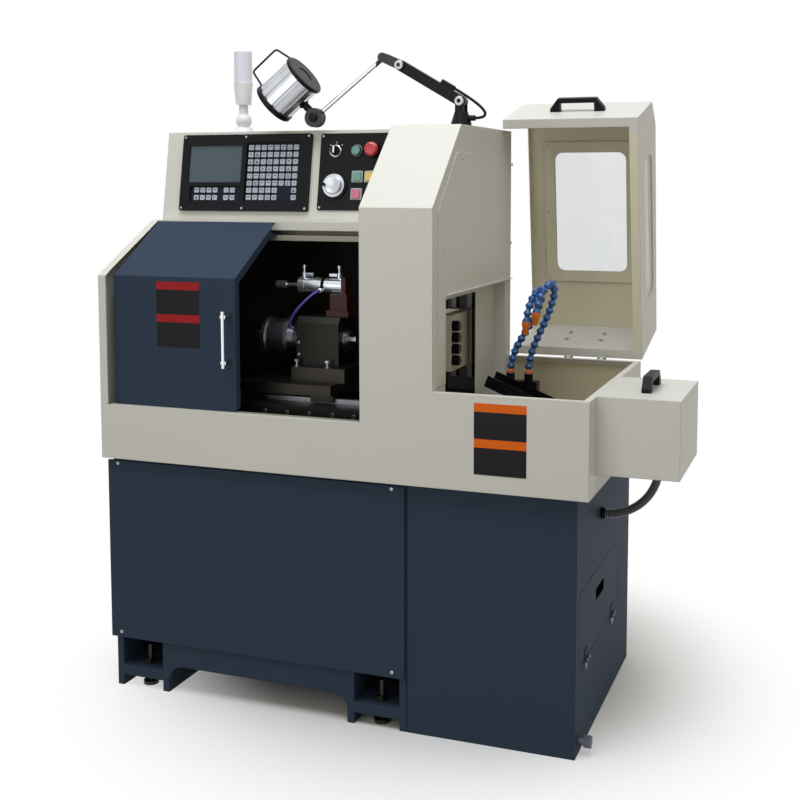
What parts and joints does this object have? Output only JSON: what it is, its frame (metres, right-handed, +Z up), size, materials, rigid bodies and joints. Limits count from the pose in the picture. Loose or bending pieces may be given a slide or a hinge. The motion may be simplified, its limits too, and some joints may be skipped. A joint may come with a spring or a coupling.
{
  "type": "cnc turning lathe",
  "caption": "Small gang-tool turning lathe with a navy base, cream guard, sliding door, open flip cover, tilted control console, work lamp and beacon.",
  "frame": {"origin": "floor, under the middle of the machine's bounding box with the flip cover open", "axes": "+X to the operator's right along the spindle, +Y to the back, +Z up"},
  "size_m": [1.626, 1.0263, 1.865],
  "materials": {
    "navy_paint": "semi-gloss",
    "cream_paint": "semi-gloss",
    "black_plastic": "fine grain",
    "black_paint": "satin",
    "zinc_steel": "zinc plated",
    "ground_steel": "ground",
    "chrome": "polished",
    "cast_iron": "machined and painted",
    "aluminium": "machined",
    "clear_pane": "clear polycarbonate",
    "screen_glass": "dark display",
    "key_plastic": "satin",
    "frosted_plastic": "frosted",
    "white_plastic": "satin",
    "green_plastic": "gloss",
    "red_plastic": "gloss",
    "pink_plastic": "gloss",
    "yellow_plastic": "gloss",
    "blue_plastic": "satin"
  },
  "bodies": {
    "machine": {"base_frame": "navy_paint", "front_panel": "navy_paint", "coolant_cabinet": "navy_paint", "tray": "cream_paint", "front_guard": "cream_paint", "left_end_wall": "cream_paint", "rear_cover": "cream_paint", "hood_partition": "cream_paint", "hood_side": "cream_paint", "hood_side_panel": "cream_paint", "console_housing": "cream_paint", "door_rails": "cream_paint", "motor_cover": "cream_paint", "cnc_bezel": "black_plastic", "motor_cover_handle": "black_plastic", "conduit": "black_plastic", "conduit_glands": "black_plastic", "operator_plate": "black_paint", "part_chute": "black_paint", "levelling_bolts": "zinc_steel", "drain_plug": "zinc_steel", "access_hinges": "zinc_steel", "cover_hinges": "zinc_steel", "coolant_tank": "zinc_steel", "linear_rails": "ground_steel", "bed": "cast_iron", "coolant_pump": "cast_iron", "coolant_manifold": "aluminium", "cnc_screen": "screen_glass", "cnc_keys": "key_plastic", "beacon_lens": "frosted_plastic", "beacon_base": "white_plastic", "coolant_hoses": "blue_plastic"},
    "door": {"sliding_door": "navy_paint", "door_handle": "chrome"},
    "cover": {"flip_cover": "cream_paint", "cover_windows": "clear_pane", "cover_handle": "black_plastic"},
    "drop_door": {"access_door": "navy_paint"},
    "head": {"headstock_slide": "ground_steel", "headstock": "cast_iron", "clamp_cylinder": "aluminium", "air_hose": "blue_plastic"},
    "spindle": {"spindle": "ground_steel"},
    "rod": {"cylinder_rod": "ground_steel"},
    "tools": {"tool_slide": "cast_iron", "tool_holders": "black_paint"},
    "lamp_turret": {"lamp_base": "black_paint", "lamp_cable": "black_plastic"},
    "lamp_arm": {"lamp_lower_arm": "black_paint"},
    "lamp_boom": {"lamp_upper_arm": "chrome"},
    "lamp_end": {"lamp_head": "aluminium", "lamp_trim": "black_paint"},
    "selector": {"selector_knob": "black_plastic"},
    "start": {"start_button": "green_plastic"},
    "estop": {"estop_button": "red_plastic"},
    "wheel": {"handwheel": "aluminium"},
    "green": {"green_button": "green_plastic"},
    "red": {"red_button": "pink_plastic"},
    "yellow": {"yellow_button": "yellow_plastic"}
  },
  "joints": [
    {"name": "door_slide", "type": "slide", "parent": "machine", "child": "door", "axis": [1, 0, 0], "range_m": [0, 0.365]},
    {"name": "cover_hinge", "type": "hinge", "parent": "machine", "child": "cover", "pos_m": [0.401, 0.24284, 0.927], "axis": [1, 0, 0], "range_deg": [0, 79]},
    {"name": "drop_door_hinge", "type": "hinge", "parent": "machine", "child": "drop_door", "pos_m": [0.5743, -0.18216, 0.223], "axis": [0, 1, 0], "range_deg": [0, 90]},
    {"name": "head_slide", "type": "slide", "parent": "machine", "child": "head", "axis": [1, 0, 0], "range_m": [-0.06, 0.08]},
    {"name": "spindle_spin", "type": "hinge", "parent": "head", "child": "spindle", "pos_m": [-0.287, -0.17416, 1.01], "axis": [1, 0, 0], "continuous": true},
    {"name": "rod_slide", "type": "slide", "parent": "head", "child": "rod", "axis": [1, 0, 0], "range_m": [-0.025, 0]},
    {"name": "tool_slide_up", "type": "slide", "parent": "machine", "child": "tools", "axis": [0, 0, 1], "range_m": [-0.03, 0.03]},
    {"name": "lamp_swivel", "type": "hinge", "parent": "machine", "child": "lamp_turret", "pos_m": [0.154, -0.14416, 1.623], "axis": [0, 0, 1], "range_deg": [-30, 60]},
    {"name": "lamp_shoulder", "type": "hinge", "parent": "lamp_turret", "child": "lamp_arm", "pos_m": [0.154, -0.14416, 1.692], "axis": [0, 1, 0], "range_deg": [0, 35], "deforming": ["lamp_cable"]},
    {"name": "lamp_elbow", "type": "hinge", "parent": "lamp_arm", "child": "lamp_boom", "pos_m": [-0.02577, -0.14416, 1.79663], "axis": [0, 1, 0], "range_deg": [0, 30]},
    {"name": "lamp_tilt", "type": "hinge", "parent": "lamp_boom", "child": "lamp_end", "pos_m": [-0.29546, -0.14416, 1.65477], "axis": [0, 1, 0], "range_deg": [0, 25]},
    {"name": "selector_turn", "type": "hinge", "parent": "machine", "child": "selector", "pos_m": [-0.239, -0.11901, 1.55699], "axis": [0, -0.9855, 0.1698], "range_deg": [-45, 45]},
    {"name": "start_push", "type": "slide", "parent": "machine", "child": "start", "axis": [0, 0.9855, -0.1698], "range_m": [0, 0.004], "stiffness_N_per_m": 900},
    {"name": "estop_push", "type": "slide", "parent": "machine", "child": "estop", "axis": [0, 0.9855, -0.1698], "range_m": [0, 0.006], "stiffness_N_per_m": 900},
    {"name": "wheel_turn", "type": "hinge", "parent": "machine", "child": "wheel", "pos_m": [-0.237, -0.1365, 1.45549], "axis": [0, -0.9855, 0.1698], "continuous": true},
    {"name": "green_push", "type": "slide", "parent": "machine", "child": "green", "axis": [0, 0.9855, -0.1698], "range_m": [0, 0.003], "stiffness_N_per_m": 900},
    {"name": "red_push", "type": "slide", "parent": "machine", "child": "red", "axis": [0, 0.9855, -0.1698], "range_m": [0, 0.003], "stiffness_N_per_m": 900},
    {"name": "yellow_push", "type": "slide", "parent": "machine", "child": "yellow", "axis": [0, 0.9855, -0.1698], "range_m": [0, 0.003], "stiffness_N_per_m": 900}
  ]
}
